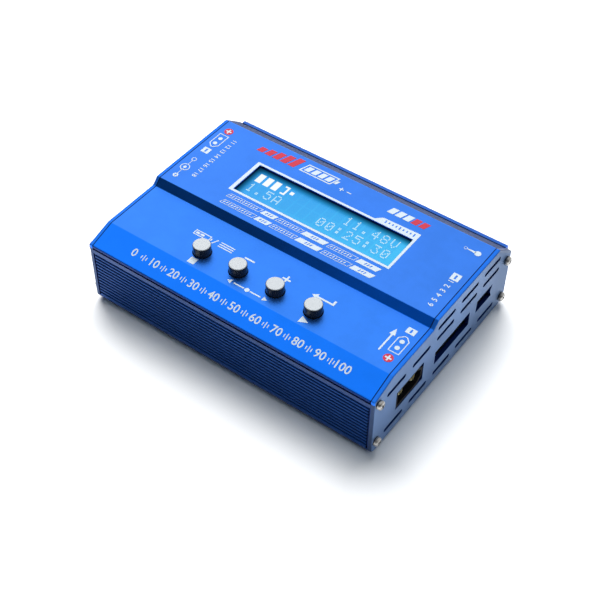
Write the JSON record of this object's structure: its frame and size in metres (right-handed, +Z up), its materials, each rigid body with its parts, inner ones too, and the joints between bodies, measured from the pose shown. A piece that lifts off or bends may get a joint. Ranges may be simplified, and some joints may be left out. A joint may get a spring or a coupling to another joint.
{
  "type": "balance battery charger",
  "caption": "Flat metal-cased bench charger for model batteries, with a stepped top, recessed display, push buttons, ribbed front and sockets in slotted end plates.",
  "frame": {"origin": "centre of the bounding box at the level of the feet", "axes": "+X to the output and balance sockets, -Y to the buttons and ribbed front, +Z up"},
  "size_m": [0.118, 0.084, 0.0331],
  "materials": {
    "cover_anodised": "satin bright blue anodised",
    "tray_anodised": "satin dark blue anodised, finely ribbed",
    "plate_anodised": "matte grey-blue anodised",
    "screw_steel": "bright nickel-plated steel",
    "foot_rubber": "matte black rubber",
    "board_laminate": "green solder mask",
    "standoff_brass": "turned brass",
    "spacer_nylon": "natural nylon",
    "socket_black": "black moulded nylon",
    "contact_gold": "gold-plated contacts",
    "button_silver": "satin silver-white",
    "switch_plastic": "black moulding",
    "display_glass": "blue-backlit display glass",
    "display_light": "diffusing backlight block",
    "bezel_steel": "black-coated folded steel",
    "component_body": "moulded component bodies",
    "pad_silicone": "grey heat-conducting silicone",
    "ferrite": "dull ferrite",
    "winding_copper": "enamelled copper wire",
    "capacitor_sleeve": "printed sleeve",
    "fuse_ceramic": "ceramic"
  },
  "bodies": {
    "case": {"top_cover": "cover_anodised", "lower_case": "tray_anodised", "right_end_plate": "plate_anodised", "left_end_plate": "plate_anodised", "right_plate_screws": "screw_steel", "left_plate_screws": "screw_steel", "board_screws": "screw_steel", "button_board_screws": "screw_steel", "lcd_screws": "screw_steel", "rubber_feet": "foot_rubber", "main_board": "board_laminate", "button_board": "board_laminate", "lcd_board": "board_laminate", "board_standoffs": "standoff_brass", "button_board_spacers": "spacer_nylon", "lcd_spacers": "spacer_nylon", "output_socket_housing": "socket_black", "input_socket_housing": "socket_black", "balance_socket_housing": "socket_black", "sensor_socket_housing": "socket_black", "jack_body": "socket_black", "button_board_header": "socket_black", "lcd_header": "socket_black", "output_socket_pins": "contact_gold", "input_socket_pins": "contact_gold", "balance_socket_pins": "contact_gold", "sensor_socket_pins": "contact_gold", "jack_centre_pin": "contact_gold", "current_shunt": "contact_gold", "switch_bodies": "switch_plastic", "buzzer": "switch_plastic", "lcd_glass": "display_glass", "lcd_backlight": "display_light", "lcd_bezel": "bezel_steel", "power_transistors": "component_body", "controller_chip": "component_body", "regulator_chip": "component_body", "balance_resistors": "component_body", "thermal_pad": "pad_silicone", "inductor_cores": "ferrite", "inductor_windings": "winding_copper", "filter_capacitors": "capacitor_sleeve", "input_fuse": "fuse_ceramic"},
    "stop_key": {"stop_button": "button_silver", "stop_switch_plunger": "switch_plastic"},
    "minus_key": {"minus_button": "button_silver", "minus_switch_plunger": "switch_plastic"},
    "plus_key": {"plus_button": "button_silver", "plus_switch_plunger": "switch_plastic"},
    "start_key": {"start_button": "button_silver", "start_switch_plunger": "switch_plastic"}
  },
  "joints": [
    {"name": "stop_press", "type": "slide", "parent": "case", "child": "stop_key", "axis": [0, 0, -1], "range_m": [0, 0.0003], "stiffness_N_per_m": 1500, "springref_m": -0.0007},
    {"name": "minus_press", "type": "slide", "parent": "case", "child": "minus_key", "axis": [0, 0, -1], "range_m": [0, 0.0003], "stiffness_N_per_m": 1500, "springref_m": -0.0007},
    {"name": "plus_press", "type": "slide", "parent": "case", "child": "plus_key", "axis": [0, 0, -1], "range_m": [0, 0.0003], "stiffness_N_per_m": 1500, "springref_m": -0.0007},
    {"name": "start_press", "type": "slide", "parent": "case", "child": "start_key", "axis": [0, 0, -1], "range_m": [0, 0.0003], "stiffness_N_per_m": 1500, "springref_m": -0.0007}
  ]
}
